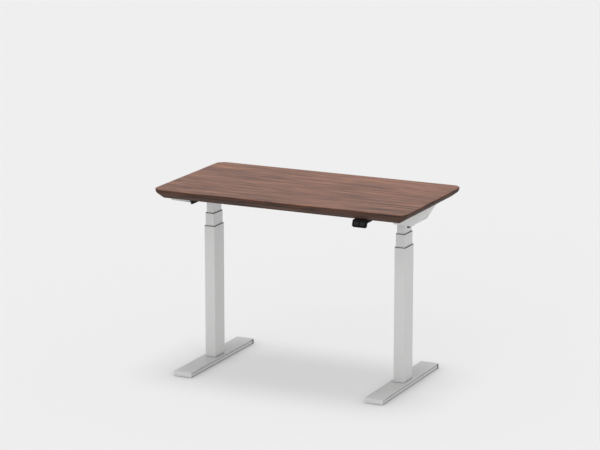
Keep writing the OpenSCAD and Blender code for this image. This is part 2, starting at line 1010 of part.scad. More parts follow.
// ---------- nodes ----------

tabletop();
side_bracket(LEFT);  // left_side_bracket
side_bracket(RIGHT);  // right_side_bracket
bracket_plugs();
cross_rail(-rail_y);  // front_rail
cross_rail(rail_y);  // rear_rail
frame_bolts();
top_screws();
gearbox(LEFT);  // left_gearbox
gearbox(RIGHT);  // right_gearbox
motor(LEFT);  // left_motor
motor(RIGHT);  // right_motor
inner_tube(LEFT);  // left_inner_tube
inner_tube(RIGHT);  // right_inner_tube
inner_tube_guides();
control_box();
power_inlet();
lead_plugs();
color("black") swept_lead(left_lead_route, lead_r);  // left_motor_lead
color("black") swept_lead(right_lead_route, lead_r);  // right_motor_lead
color("black") swept_lead(handset_lead_route, handset_lead_r);  // handset_lead
cable_clips();
handset_housing();
button(RIGHT, true);  // up_button
button(LEFT, false);  // down_button
middle_tube(LEFT);  // left_middle_tube
middle_tube(RIGHT);  // right_middle_tube
middle_collar(LEFT);  // left_middle_collar
middle_collar(RIGHT);  // right_middle_collar
middle_guides(LEFT);  // left_middle_guides
middle_guides(RIGHT);  // right_middle_guides
push_tube(LEFT);  // left_push_tube
push_tube(RIGHT);  // right_push_tube
spindle_nut(LEFT);  // left_spindle_nut
spindle_nut(RIGHT);  // right_spindle_nut
spindle_bearing(LEFT);  // left_spindle_bearing
spindle_bearing(RIGHT);  // right_spindle_bearing
upper_spindle(LEFT);  // left_upper_spindle
upper_spindle(RIGHT);  // right_upper_spindle
hollow_spindle(LEFT);  // left_hollow_spindle
hollow_spindle(RIGHT);  // right_hollow_spindle
outer_tube(LEFT);  // left_outer_tube
outer_tube(RIGHT);  // right_outer_tube
outer_collar(LEFT);  // left_outer_collar
outer_collar(RIGHT);  // right_outer_collar
stand_tube(LEFT);  // left_stand_tube
stand_tube(RIGHT);  // right_stand_tube
base_nut(LEFT);  // left_base_nut
base_nut(RIGHT);  // right_base_nut
foot(LEFT);  // left_foot
foot(RIGHT);  // right_foot
foot_screws(LEFT);  // left_foot_screws
foot_screws(RIGHT);  // right_foot_screws
foot_cap(LEFT);  // left_foot_cap
foot_cap(RIGHT);  // right_foot_cap
glide(LEFT, front_glide_y);  // left_front_glide
glide(LEFT, rear_glide_y);  // left_rear_glide
glide(RIGHT, front_glide_y);  // right_front_glide
glide(RIGHT, rear_glide_y);  // right_rear_glide
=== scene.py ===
"""Looks of the height adjustable standing desk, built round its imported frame. Metres, +Z up."""

import json
import math

import bmesh
import bpy
from mathutils import Matrix, Vector
from mathutils.bvhtree import BVHTree


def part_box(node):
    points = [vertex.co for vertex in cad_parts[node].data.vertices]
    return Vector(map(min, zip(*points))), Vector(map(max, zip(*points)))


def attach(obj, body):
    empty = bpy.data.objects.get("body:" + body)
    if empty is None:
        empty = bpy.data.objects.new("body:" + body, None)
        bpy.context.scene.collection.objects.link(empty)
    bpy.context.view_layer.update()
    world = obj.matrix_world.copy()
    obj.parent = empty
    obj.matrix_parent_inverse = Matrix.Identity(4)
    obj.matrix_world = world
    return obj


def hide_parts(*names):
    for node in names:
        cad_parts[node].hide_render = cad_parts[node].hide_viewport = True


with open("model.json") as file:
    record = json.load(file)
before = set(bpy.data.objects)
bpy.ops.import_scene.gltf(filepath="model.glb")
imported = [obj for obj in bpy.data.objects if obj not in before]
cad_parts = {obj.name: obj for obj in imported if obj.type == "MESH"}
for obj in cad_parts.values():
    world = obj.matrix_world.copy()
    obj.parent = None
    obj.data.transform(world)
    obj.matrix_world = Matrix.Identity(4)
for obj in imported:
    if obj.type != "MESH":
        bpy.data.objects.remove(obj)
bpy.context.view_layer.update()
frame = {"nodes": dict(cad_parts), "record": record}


# ---------- camera, light and floor ----------

LENS_MM = 152.97
SENSOR_MM = 36
CAMERA_AT = (4.3818, -9.1827, 3.0556)
CAMERA_DOWN = 13.4214
CAMERA_TURN = 25.6838
BACKDROP = 0.863
LEVEL_LIGHT = 0.98
# The floor glows a little of itself, which keeps the desk's shadow on it pale
FLOOR_ALBEDO = 0.49
FLOOR_GLOW = BACKDROP - FLOOR_ALBEDO * LEVEL_LIGHT
FLOOR_HALF = 60
# Reach of the dimming where something stands close over the floor
CONTACT_REACH = 0.08
DOME_HORIZON = 0.66
# Each soft lamp: strength, degrees above the horizon, degrees round from -Y towards +X, and its width
LAMPS = {
    "low_fill": (0.25, 10, 0, 30),
    "front_fill": (0.35, 35, 0, 40),
    "overhead": (1.1, 86, 180, 24),
}
# A dome that rises evenly from horizon to zenith lights a level surface by horizon + 2/3 of the rise,
# and dome and lamps together give LEVEL_LIGHT
LAMP_SHARE = sum(lamp[0] * math.sin(math.radians(lamp[1])) / math.pi for lamp in LAMPS.values())
DOME_ZENITH = DOME_HORIZON + 1.5 * (LEVEL_LIGHT - LAMP_SHARE - DOME_HORIZON)


def grey(value):
    return (value, value, value, 1)


def add_camera():
    data = bpy.data.cameras.new("camera")
    data.sensor_width = SENSOR_MM
    data.lens = LENS_MM
    data.clip_end = 200
    camera = bpy.data.objects.new("camera", data)
    camera.location = CAMERA_AT
    camera.rotation_euler = (math.radians(90 - CAMERA_DOWN), 0, math.radians(CAMERA_TURN))
    bpy.context.scene.collection.objects.link(camera)
    bpy.context.scene.camera = camera


def add_studio():
    """A white dome, brighter overhead, that the camera sees as a plain pale backdrop."""
    scene = bpy.context.scene
    scene.view_settings.view_transform = "Standard"
    scene.world = bpy.data.worlds.new("studio")
    scene.world.use_nodes = True
    tree = scene.world.node_tree
    tree.nodes.clear()
    coords = tree.nodes.new("ShaderNodeTexCoord")
    split = tree.nodes.new("ShaderNodeSeparateXYZ")
    rise = tree.nodes.new("ShaderNodeMapRange")
    rise.inputs["To Min"].default_value = DOME_HORIZON
    rise.inputs["To Max"].default_value = DOME_ZENITH
    dome = tree.nodes.new("ShaderNodeBackground")
    dome.inputs["Color"].default_value = grey(1)
    backdrop = tree.nodes.new("ShaderNodeBackground")
    backdrop.inputs["Color"].default_value = grey(BACKDROP)
    path = tree.nodes.new("ShaderNodeLightPath")
    mix = tree.nodes.new("ShaderNodeMixShader")
    out = tree.nodes.new("ShaderNodeOutputWorld")
    tree.links.new(coords.outputs["Generated"], split.inputs[0])
    tree.links.new(split.outputs["Z"], rise.inputs["Value"])
    tree.links.new(rise.outputs[0], dome.inputs["Strength"])
    tree.links.new(path.outputs["Is Camera Ray"], mix.inputs[0])
    tree.links.new(dome.outputs[0], mix.inputs[1])
    tree.links.new(backdrop.outputs[0], mix.inputs[2])
    tree.links.new(mix.outputs[0], out.inputs[0])


def add_lamps():
    for name, (strength, up, turn, width) in LAMPS.items():
        lamp = bpy.data.lights.new(name, "SUN")
        lamp.energy = strength
        lamp.angle = math.radians(width)
        light = bpy.data.objects.new(name, lamp)
        light.rotation_euler = (math.radians(90 - up), 0, math.radians(turn))
        bpy.context.scene.collection.objects.link(light)


def add_floor():
    """A pale floor, clear from below so that the underside of the desk can be looked at."""
    corners = [(FLOOR_HALF * sx, FLOOR_HALF * sy, 0) for sx, sy in ((-1, -1), (1, -1), (1, 1), (-1, 1))]
    mesh = bpy.data.meshes.new("floor")
    mesh.from_pydata(corners, [], [(0, 1, 2, 3)])
    floor = bpy.data.objects.new("floor", mesh)
    bpy.context.scene.collection.objects.link(floor)
    material = bpy.data.materials.new("floor")
    material.use_nodes = True
    tree = material.node_tree
    tree.nodes.clear()
    paper = tree.nodes.new("ShaderNodeBsdfDiffuse")
    paper.inputs["Color"].default_value = grey(FLOOR_ALBEDO)
    glow = tree.nodes.new("ShaderNodeEmission")
    glow.inputs["Color"].default_value = grey(1)
    # Close under the feet the glow dies out, so that they look planted
    open_sky = tree.nodes.new("ShaderNodeAmbientOcclusion")
    open_sky.inputs["Distance"].default_value = CONTACT_REACH
    strength = tree.nodes.new("ShaderNodeMath")
    strength.operation = "MULTIPLY"
    strength.inputs[1].default_value = FLOOR_GLOW
    tree.links.new(open_sky.outputs["AO"], strength.inputs[0])
    tree.links.new(strength.outputs[0], glow.inputs["Strength"])
    both = tree.nodes.new("ShaderNodeAddShader")
    clear = tree.nodes.new("ShaderNodeBsdfTransparent")
    side = tree.nodes.new("ShaderNodeNewGeometry")
    mix = tree.nodes.new("ShaderNodeMixShader")
    out = tree.nodes.new("ShaderNodeOutputMaterial")
    tree.links.new(side.outputs["Backfacing"], mix.inputs[0])
    tree.links.new(paper.outputs[0], both.inputs[0])
    tree.links.new(glow.outputs[0], both.inputs[1])
    tree.links.new(both.outputs[0], mix.inputs[1])
    tree.links.new(clear.outputs[0], mix.inputs[2])
    tree.links.new(mix.outputs[0], out.inputs[0])
    mesh.materials.append(material)


# ---------- materials ----------

class Graph:
    """A material's nodes, with short calls for the few kinds used here."""

    def __init__(self, name):
        self.material = bpy.data.materials.new(name)
        self.material.use_nodes = True
        self.tree = self.material.node_tree
        self.shader = self.tree.nodes["Principled BSDF"]
        self.place = self.node("ShaderNodeTexCoord").outputs["Object"]

    def put(self, socket, value):
        if isinstance(value, bpy.types.NodeSocket):
            self.tree.links.new(value, socket)
        else:
            socket.default_value = value

    def node(self, kind, settings=None, **inputs):
        made = self.tree.nodes.new(kind)
        for key, value in (settings or {}).items():
            setattr(made, key, value)
        for key, value in inputs.items():
            self.put(made.inputs[key.replace("_", " ")], value)
        return made

    def split(self, vector):
        made = self.node("ShaderNodeSeparateXYZ", Vector=vector)
        return made.outputs[0], made.outputs[1], made.outputs[2]

    def join(self, x, y, z):
        return self.node("ShaderNodeCombineXYZ", X=x, Y=y, Z=z).outputs[0]

    def scaled(self, vector, scale):
        return self.node("ShaderNodeMapping", Vector=vector, Scale=scale).outputs[0]

    def noise(self, vector, scale, detail, roughness):
        made = self.node(
            "ShaderNodeTexNoise", Vector=vector, Scale=scale, Detail=detail, Roughness=roughness
        )
        return made.outputs[0]

    def grain(self, vector, layer, detail, roughness):
        return self.noise(self.scaled(vector, GRAIN_STRETCH[layer]), 1.0, detail, roughness)

    def cells(self, vector):
        return self.node("ShaderNodeTexVoronoi", Vector=vector, Scale=1.0).outputs["Distance"]

    def pick(self, value):
        """A random value and a random colour for each whole number"""
        made = self.node("ShaderNodeTexWhiteNoise", {"noise_dimensions": "1D"}, W=value)
        return made.outputs["Value"], made.outputs["Color"]

    def calc(self, operation, a, b=0.0, c=0.0, clamp=False):
        made = self.node("ShaderNodeMath", {"operation": operation, "use_clamp": clamp})
        for socket, value in zip(made.inputs, (a, b, c)):
            self.put(socket, value)
        return made.outputs[0]

    def lean(self, tone, field, middle, share, clamp=False):
        """The tone, moved by a share of how far a field is from its middle"""
        return self.calc("MULTIPLY_ADD", self.calc("SUBTRACT", field, middle), share, tone, clamp)

    def remap(self, value, low, high, to_low, to_high):
        made = self.node(
            "ShaderNodeMapRange",
            Value=value, From_Min=low, From_Max=high, To_Min=to_low, To_Max=to_high,
        )
        return made.outputs[0]

    def ramp(self, value, stops):
        made = self.node("ShaderNodeValToRGB", Fac=value)
        elements = made.color_ramp.elements
        while len(elements) < len(stops):
            elements.new(0.5)
        for element, (position, colour) in zip(elements, stops):
            element.position = position
            element.color = (*colour, 1)
        return made.outputs[0]

    def mix(self, share, a, b, blend="MIX"):
        made = self.node("ShaderNodeMix", {"data_type": "RGBA", "blend_type": blend})
        self.put(made.inputs[0], share)
        self.put(made.inputs[6], a)
        self.put(made.inputs[7], b)
        return made.outputs[2]

    def bump(self, height, distance):
        return self.node("ShaderNodeBump", Height=height, Distance=distance).outputs[0]

    def surface(self, **inputs):
        for key, value in inputs.items():
            self.put(self.shader.inputs[key.replace("_", " ")], value)
        return self.material


STAVE_W = 0.094
# How each layer of the grain is squeezed: little along the boards and much across them,
# and the other way on the ends
GRAIN_STRETCH = {
    "flow": (1.2, 9.0, 9.0),
    "broad": (3.0, 16.0, 16.0),
    "streak": (4.5, 80.0, 80.0),
    "fibre": (14.0, 420.0, 420.0),
    "pores": (75.0, 900.0, 900.0),
    "ends": (80.0, 5.0, 60.0),
}
WALNUT_TONES = [
    (0.0, (0.068, 0.026, 0.015)),
    (0.35, (0.165, 0.066, 0.038)),
    (0.65, (0.270, 0.110, 0.062)),
    (1.0, (0.420, 0.175, 0.095)),
]
PORE_COLOUR = (0.035, 0.014, 0.008, 1)
RING_TONES = [(0.0, (0.15,) * 3), (0.1, (0.75,) * 3), (0.6, (0.9,) * 3), (1.0, (0.15,) * 3)]
# Depth under the surface at which the planed face gives way to the shaped edge, and the painted shade that
# darkens the edge's colour in place of the lesser light it gets
PLANED_FROM = 0.0035
PLANED_TO = 0.0006
EDGE_PAINTED_SHADE = 0.25


def walnut():
    """Oiled walnut: staves glued along X, each with its own flowing grain, fibres and pores."""
    g = Graph("walnut")
    x, y, z = g.split(g.place)
    top_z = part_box("tabletop")[1].z
    number = g.calc("FLOOR", g.calc("DIVIDE", y, STAVE_W))
    value, colour = g.pick(number)
    r1, r2, r3 = g.split(colour)
    # Each stave is cut from another part of the log
    own = g.join(
        g.calc("MULTIPLY_ADD", r1, 9.0, x),
        g.calc("MULTIPLY_ADD", r2, 5.0, y),
        g.calc("MULTIPLY_ADD", r3, 3.0, z),
    )
    flow = g.grain(own, "flow", 3.0, 0.5)
    lines = g.ramp(g.calc("FRACT", g.calc("MULTIPLY", flow, 14.0)), RING_TONES)
    broad = g.grain(own, "broad", 4.0, 0.55)
    streak = g.grain(own, "streak", 3.0, 0.6)
    fibre = g.grain(own, "fibre", 2.0, 0.6)
    tone = g.lean(0.55, broad, 0.5, 0.95)
    tone = g.lean(tone, streak, 0.5, 1.9)
    tone = g.lean(tone, lines, 0.7, 0.28)
    tone = g.lean(tone, fibre, 0.5, 0.40)
    tone = g.lean(tone, value, 0.5, 0.14, clamp=True)
    # On the ends the streaks run along the edge
    end_tone = g.lean(0.5, g.grain(own, "ends", 3.0, 0.6), 0.5, 1.9)
    normal_x = g.split(g.node("ShaderNodeNewGeometry").outputs["Normal"])[0]
    facing_end = g.remap(g.calc("ABSOLUTE", normal_x), 0.45, 0.6, 0.0, 1.0)
    tone = g.node("ShaderNodeMix", Factor=facing_end, A=tone, B=end_tone).outputs[0]
    heart = g.ramp(tone, WALNUT_TONES)
    pores = g.remap(g.cells(g.scaled(own, GRAIN_STRETCH["pores"])), 0.10, 0.22, 1.0, 0.0)
    wood = g.mix(g.calc("MULTIPLY", pores, 0.45), heart, PORE_COLOUR)
    # Painted shade: the shaped edge's colour is darkened to stand in for the lesser light it gets than the
    # planed face. The edge is also made duller
    planed = g.remap(z, top_z - PLANED_FROM, top_z - PLANED_TO, 0.0, 1.0)
    shade = g.remap(planed, 0.0, 1.0, EDGE_PAINTED_SHADE, 1.0)
    painted_shade_colour = g.node("ShaderNodeCombineColor", Red=shade, Green=shade, Blue=shade).outputs[0]
    wood = g.mix(1.0, wood, painted_shade_colour, "MULTIPLY")
    rough = g.remap(g.calc("MULTIPLY_ADD", pores, -0.5, streak), 0.2, 0.8, 0.50, 0.40)
    rough = g.calc("ADD", rough, g.remap(planed, 0.0, 1.0, 0.35, 0.0))
    height = g.calc("MULTIPLY_ADD", pores, -1.0, g.calc("MULTIPLY", fibre, 0.35))
    return g.surface(Base_Color=wood, Roughness=rough, Normal=g.bump(height, 0.00008))


def shades(base, dark, light):
    """Ramp stops for a colour that wanders a little about its base"""
    return [(0.3, tuple(c * dark for c in base)), (0.7, tuple(c * light for c in base))]


def powder_coat(name, base):
    """Fine-textured powder coat: a faint orange peel, with the colour hardly changing over it."""
    g = Graph(name)
    peel = g.noise(g.place, 900.0, 2.0, 0.5)
    grit = g.noise(g.place, 2600.0, 1.0, 0.5)
    cloud = g.noise(g.place, 6.0, 2.0, 0.5)
    tone = g.lean(g.lean(0.5, cloud, 0.5, 0.10), peel, 0.5, 0.25)
    rough = g.remap(grit, 0.3, 0.7, 0.28, 0.38)
    height = g.calc("MULTIPLY_ADD", grit, 0.4, peel)
    return g.surface(
        Base_Color=g.ramp(tone, shades(base, 0.95, 1.05)), Roughness=rough,
        Coat_Weight=0.6, Coat_Roughness=0.25, Normal=g.bump(height, 0.00005),
    )


def moulded_plastic(name, base, roughness=0.45, shine=0.5):
    """Spark-eroded plastic: a fine dull grain with a little wear in its gloss."""
    g = Graph(name)
    grain = g.noise(g.place, 3200.0, 2.0, 0.6)
    wear = g.noise(g.place, 35.0, 3.0, 0.6)
    rough = g.remap(wear, 0.3, 0.7, roughness - 0.06, roughness + 0.06)
    return g.surface(
        Base_Color=g.ramp(grain, shades(base, 0.8, 1.2)), Roughness=rough,
        Specular_IOR_Level=shine, Normal=g.bump(grain, 0.00003),
    )


def metal(name, base, roughness, stretch=(1.0, 1.0, 1.0), brush=400.0, depth=0.00002):
    """Bare or plated metal with drawn or cast marks."""
    g = Graph(name)
    marks = g.noise(g.scaled(g.place, stretch), brush, 3.0, 0.6)
    stain = g.noise(g.place, 28.0, 3.0, 0.6)
    colour = g.ramp(stain, shades(base, 0.86, 1.06))
    rough = g.remap(marks, 0.3, 0.7, roughness - 0.08, roughness + 0.08)
    return g.surface(Base_Color=colour, Metallic=1.0, Roughness=rough, Normal=g.bump(marks, depth))


finish = {
    "walnut_wood": walnut(),
    "powder_coated_steel": powder_coat("powder_coat", (0.66, 0.66, 0.657)),
    "black_plastic": moulded_plastic("black_plastic", (0.004, 0.004, 0.0044), 0.62, 0.15),
    "dark_grey_plastic": moulded_plastic("dark_grey_plastic", (0.010, 0.010, 0.011), 0.5, 0.3),
    "collar_plastic": moulded_plastic("collar_plastic", (0.060, 0.060, 0.061)),
    "guide_plastic": moulded_plastic("guide_plastic", (0.028, 0.028, 0.028), 0.38),
    "glide_rubber": moulded_plastic("glide_rubber", (0.016, 0.016, 0.016), 0.7),
    "lead_sheath": moulded_plastic("lead_sheath", (0.014, 0.014, 0.015), 0.5),
    "cast_housing": metal("cast_housing", (0.46, 0.47, 0.48), 0.5, brush=900.0, depth=0.00008),
    "black_motor_paint": moulded_plastic("black_motor_paint", (0.014, 0.014, 0.015), 0.35),
    "screw_steel": metal("screw_steel", (0.55, 0.55, 0.53), 0.35),
    "spindle_steel": metal("spindle_steel", (0.58, 0.57, 0.55), 0.3, stretch=(1.0, 1.0, 12.0)),
    "nut_bronze": metal("nut_bronze", (0.62, 0.42, 0.19), 0.35),
}


# ---------- mesh helpers ----------

MM = 0.001
# Points closer than this are one point
WELD = 0.01 * MM
body_of_node = {
    node: body for body, nodes in frame["record"]["behaviour"]["bodies"].items() for node in nodes
}
slot_of_node = {row["node"]: row["material_slot"] for row in frame["record"]["subparts"]}


def rounded_outline(half_x, half_y, radius, steps=6):
    """Rounded rectangle about the origin, anticlockwise"""
    points = []
    for corner, (sx, sy) in enumerate(((1, 1), (-1, 1), (-1, -1), (1, -1))):
        for i in range(steps + 1):
            angle = math.pi / 2 * (corner + i / steps)
            x = sx * (half_x - radius) + radius * math.cos(angle)
            y = sy * (half_y - radius) + radius * math.sin(angle)
            points.append((x, y))
    return points


def polar(radius, i, steps):
    """The i-th of the points that share out a circle"""
    return (radius * math.cos(math.tau * i / steps), radius * math.sin(math.tau * i / steps))


def circle(radius, steps):
    return [polar(radius, i, steps) for i in range(steps)]


def at_height(outline, z):
    return [(x, y, z) for x, y in outline]


def loft(shape, rings, place=Matrix(), closed=False):
    """Skins rings of equally many points. The last ring is joined to the first, or both are capped."""
    rows = [[shape.verts.new(place @ Vector(point)) for point in ring] for ring in rings]
    pairs = list(zip(rows, rows[1:]))
    if closed:
        pairs.append((rows[-1], rows[0]))
    for low_row, high_row in pairs:
        for i, corner in enumerate(low_row):
            j = (i + 1) % len(low_row)
            shape.faces.new((corner, low_row[j], high_row[j], high_row[i]))
    if not closed:
        shape.faces.new(rows[0][::-1])
        shape.faces.new(rows[-1])


def lathe(shape, profile, place=Matrix(), steps=32, closed=False):
    """Turns (radius, height) points about the local Z"""
    loft(shape, [at_height(circle(r, steps), z) for r, z in profile], place, closed=closed)


def make_piece(name, shape, body, slot, *nodes, sharp=35):
    """Makes a bmesh into a finished piece that rides on a body and stands for the CAD nodes given."""
    bmesh.ops.recalc_face_normals(shape, faces=shape.faces)
    mesh = bpy.data.meshes.new(name)
    shape.to_mesh(mesh)
    shape.free()
    mesh.shade_smooth()
    mesh.set_sharp_from_angle(angle=math.radians(sharp))
    mesh.materials.append(finish[slot])
    piece = bpy.data.objects.new(name, mesh)
    bpy.context.scene.collection.objects.link(piece)
    normals = piece.modifiers.new("normals", "WEIGHTED_NORMAL")
    normals.keep_sharp = True
    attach(piece, body)
    if nodes:
        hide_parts(*nodes)


def welded(node):
    """A copy of a CAD node's mesh with its flat faces whole again"""
    shape = bmesh.new()
    shape.from_mesh(frame["nodes"][node].data)
    bmesh.ops.remove_doubles(shape, verts=shape.verts, dist=WELD)
    bmesh.ops.dissolve_limit(
        shape, angle_limit=math.radians(0.5), verts=shape.verts, edges=shape.edges, delimit=set()
    )
    return shape


def round_edges(shape, width, shortest):
    """Rounds the edges that turn by more than 35 degrees and are longer than the shortest"""
    edges = [
        e for e in shape.edges
        if e.is_manifold and e.calc_face_angle(0) > math.radians(35) and e.calc_length() > shortest
    ]
    bmesh.ops.bevel(
        shape, geom=edges, offset=width, offset_type="OFFSET", segments=2, profile=0.5,
        affect="EDGES", clamp_overlap=False, miter_outer="SHARP", miter_inner="SHARP",
    )


def soften(node, width):
    """Rounds every sharp edge of a CAD node's shape, as moulding, folding or coating leaves it.

    Where a corner is too tight for the width, so that a point would leave the old surface,
    only the node's long edges are rounded, or the rounding gets finer.
    """
    before = welded(node)
    surface = BVHTree.FromBMesh(before)
    before.free()
    long = 20 * MM
    for share, shortest in ((1.0, 0.0), (1.0, long), (0.6, long), (0.3, long), (0.0, long)):
        shape = welded(node)
        if share:
            round_edges(shape, width * share, shortest)
        if all(surface.find_nearest(v.co)[3] < width * share + WELD for v in shape.verts):
            break
        shape.free()
    make_piece(node + "_shell", shape, body_of_node[node], slot_of_node[node], node)


def islands(node):
    """Lowest and highest corner of each separate solid in a node"""
    shape = bmesh.new()
    shape.from_mesh(frame["nodes"][node].data)
    bmesh.ops.remove_doubles(shape, verts=shape.verts, dist=WELD)
    left = set(shape.verts)
    boxes = []
    while left:
        start = left.pop()
        found = [start]
        for vert in found:
            for edge in vert.link_edges:
                other = edge.other_vert(vert)
                if other in left:
                    left.remove(other)
                    found.append(other)
        lows = Vector([min(v.co[i] for v in found) for i in range(3)])
        highs = Vector([max(v.co[i] for v in found) for i in range(3)])
        boxes.append((lows, highs))
    shape.free()
    return sorted(boxes, key=lambda pair: tuple(pair[0]))


# ---------- tabletop ----------

CORNER_R = 38 * MM
EDGE_H = 15 * MM
BEVEL = 35 * MM
# Radii of the edge's section: where the bevel starts, where it meets the upright edge, and the arris
TOE_R = 8.5 * MM
KNEE_R = 23.8 * MM
ARRIS_R = 2.5 * MM
# How far the flat faces run in before they are closed
RIM = 20 * MM


def blended(points, radii, steps=8):
    """An open line of 2-D points, with every corner between its ends rounded"""
    line = [Vector(points[0])]
    for before, corner, after, radius in zip(points, points[1:], points[2:], radii):
        corner = Vector(corner)
        to_before = (Vector(before) - corner).normalized()
        to_after = (Vector(after) - corner).normalized()
        half = to_before.angle(to_after) / 2
        start = corner + to_before * radius / math.tan(half)
        finish_at = corner + to_after * radius / math.tan(half)
        centre = corner + (to_before + to_after).normalized() * radius / math.sin(half)
        for i in range(steps + 1):
            step = start.lerp(finish_at, i / steps) - centre
            line.append(centre + step.normalized() * radius)
    line.append(Vector(points[-1]))
    return line


def add_tabletop():
    """The top's edge section, as inset and height, carried round the rounded outline"""
    low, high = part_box("tabletop")
    middle = (low + high) / 2
    half_x = (high.x - low.x) / 2
    half_y = (high.y - low.y) / 2
    flat = BEVEL + RIM
    section = blended(
        [(flat, low.z), (BEVEL, low.z), (0, high.z - EDGE_H), (0, high.z), (flat, high.z)],
        [TOE_R, KNEE_R, ARRIS_R],
    )
    rings = []
    for inset, z in section:
        radius = max(CORNER_R - inset, 0.5 * MM)
        outline = rounded_outline(half_x - inset, half_y - inset, radius, 14)
        rings.append([(middle.x + x, middle.y + y, z) for x, y in outline])
    shape = bmesh.new()
    loft(shape, rings)
    make_piece("walnut_top", shape, "desk_top", "walnut_wood", "tabletop", sharp=50)


# ---------- fasteners ----------

def add_bolt_head(shape, centre_x, centre_y, low, high, radius):
    """Button head with a hexagon socket, its crown at low"""
    steps = 24
    height = high - low
    crown = [
        (radius * math.cos(a), high - height * (0.25 + 0.75 * math.sin(a)))
        for a in (math.radians(10 * i) for i in range(7))
    ]
    socket = radius * 0.5
    sides = [(radius * 0.96, high), (radius, high - height * 0.1)]
    rings = [at_height(circle(r, steps), z) for r, z in sides + crown]
    hexagon = []
    for i in range(steps):
        turn = math.tau * i / steps
        reach = socket * math.cos(math.pi / 6) / math.cos((turn % (math.tau / 6)) - math.pi / 6)
        hexagon.append(polar(reach, i, steps))
    rings.append(at_height([(x * 1.08, y * 1.08) for x, y in hexagon], low))
    rings.append(at_height(hexagon, low + height * 0.08))
    rings.append(at_height(hexagon, low + height * 0.6))
    loft(shape, rings, Matrix.Translation((centre_x, centre_y, 0)))


def add_screw_head(shape, centre_x, centre_y, low, high, radius):
    """Pan head with a cross recess, its crown at low"""
    steps = 32
    height = high - low
    sides = [(radius, high), (radius, high - height * 0.35)]
    for i in range(1, 5):
        lean = math.radians(18 * i)
        drop = 0.35 + 0.65 * math.sin(lean)
        sides.append((radius * (0.62 + 0.38 * math.cos(lean)), high - height * drop))
    rings = [at_height(circle(r, steps), z) for r, z in sides]
    cross = []
    for i in range(steps):
        arm = 0.20 + 0.38 * abs(math.cos(2 * math.tau * i / steps)) ** 3
        cross.append(polar(radius * arm, i, steps))
    rings.append(at_height(cross, low))
    rings.append(at_height([(x * 0.55, y * 0.55) for x, y in cross], low + height * 0.7))
    loft(shape, rings, Matrix.Translation((centre_x, centre_y, 0)))


def add_fasteners(node, head_radius, head_height, add_head):
    """A detailed head and a threaded shank at each place where the CAD node has a fastener"""
    shape = bmesh.new()
    for low, high in islands(node):
        x = (low.x + high.x) / 2
        y = (low.y + high.y) / 2
        seat = low.z + head_height
        place = Matrix.Translation((x, y, 0))
        add_head(shape, x, y, low.z, seat, head_radius)
        thread(shape, head_radius * 0.5, seat - 0.2 * MM, high.z, 1.0 * MM, 0.3 * MM, place, 12)
    make_piece(node + "_detailed", shape, body_of_node[node], "screw_steel", node)


def threaded_rings(radius, low, high, pitch, depth, steps):
    """Rings up Z whose radius follows a single-start thread of rounded trapezoid form"""
    count = max(int((high - low) / (pitch / 6)), 2)
    rings = []
    for k in range(count + 1):
        z = low + (high - low) * k / count
        ring = []
        for i in range(steps):
            phase = z / pitch - i / steps
            wave = abs((phase % 1.0) - 0.5) * 2
            cut = depth * min(max(1.5 * wave - 0.25, 0.0), 1.0)
            # The thread runs out at both ends
            cut = max(cut, depth * (1 - min((z - low), (high - z)) / (0.6 * pitch)))
            ring.append((*polar(radius - min(cut, depth), i, steps), z))
        rings.append(ring)
    return rings


def thread(shape, radius, low, high, pitch, depth, place=Matrix(), steps=20):
    loft(shape, threaded_rings(radius, low, high, pitch, depth, steps), place)


# ---------- drive ----------

SPINDLE_PITCH = 3 * MM
SPINDLE_DEPTH = 0.6 * MM
# The square that the gearbox turns, on top of the upper spindle
SQUARE_H = 16 * MM
SQUARE_HALF = 3.5 * MM
HOLLOW_BORE_R = 6.2 * MM
SPINDLE_NUT_BORE_R = 5.56 * MM
BASE_NUT_BORE_R = 9.06 * MM
BEARING_BORE_R = 9.05 * MM
MOTOR_CAP_L = 14 * MM


def column_place(node):
    """Moves a shape from the Z axis to the middle line of the column that the node is in"""
    low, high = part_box(node)
    return Matrix.Translation(((low.x + high.x) / 2, 0, 0))


def add_upper_spindle(side, place):
    node = side + "_upper_spindle"
    low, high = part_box(node)
    thread_end = high.z - SQUARE_H
    shape = bmesh.new()
    thread(shape, (high.x - low.x) / 2, low.z, thread_end, SPINDLE_PITCH, SPINDLE_DEPTH, place)
    square = rounded_outline(SQUARE_HALF, SQUARE_HALF, 0.5 * MM, 2)
    chamfered = [(x * 0.85, y * 0.85) for x, y in square]
    loft(shape, [
        at_height(square, thread_end - 0.1 * MM),
        at_height(square, high.z - 0.8 * MM),
        at_height(chamfered, high.z),
    ], place)
    make_piece(node + "_thread", shape, node, "spindle_steel", node)


def add_hollow_spindle(side, place):
    node = side + "_hollow_spindle"
    steps = 28
    low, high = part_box(node)
    rings = threaded_rings((high.x - low.x) / 2, low.z, high.z, SPINDLE_PITCH, SPINDLE_DEPTH, steps)
    rings += [at_height(circle(HOLLOW_BORE_R, steps), z) for z in (high.z, low.z)]
    shape = bmesh.new()
    loft(shape, rings, place, closed=True)
    make_piece(node + "_thread", shape, node, "spindle_steel", node)


def add_nut(node, bore, place):
    """Turned bronze nut with two grooves round it"""
    low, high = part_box(node)
    radius = (high.x - low.x) / 2
    edge = 0.5 * MM
    profile = [(bore, low.z + edge), (bore + edge, low.z), (radius - edge, low.z), (radius, low.z + edge)]
    for share in (0.3, 0.7):
        groove = low.z + (high.z - low.z) * share
        profile += [(radius, groove - 1.2 * MM), (radius - 0.7 * MM, groove - 0.5 * MM)]
        profile += [(radius - 0.7 * MM, groove + 0.5 * MM), (radius, groove + 1.2 * MM)]
    profile += [(radius, high.z - edge), (radius - edge, high.z)]
    profile += [(bore + edge, high.z), (bore, high.z - edge)]
    shape = bmesh.new()
    lathe(shape, profile, place, 48, closed=True)
    make_piece(node + "_turned", shape, body_of_node[node], "nut_bronze", node)


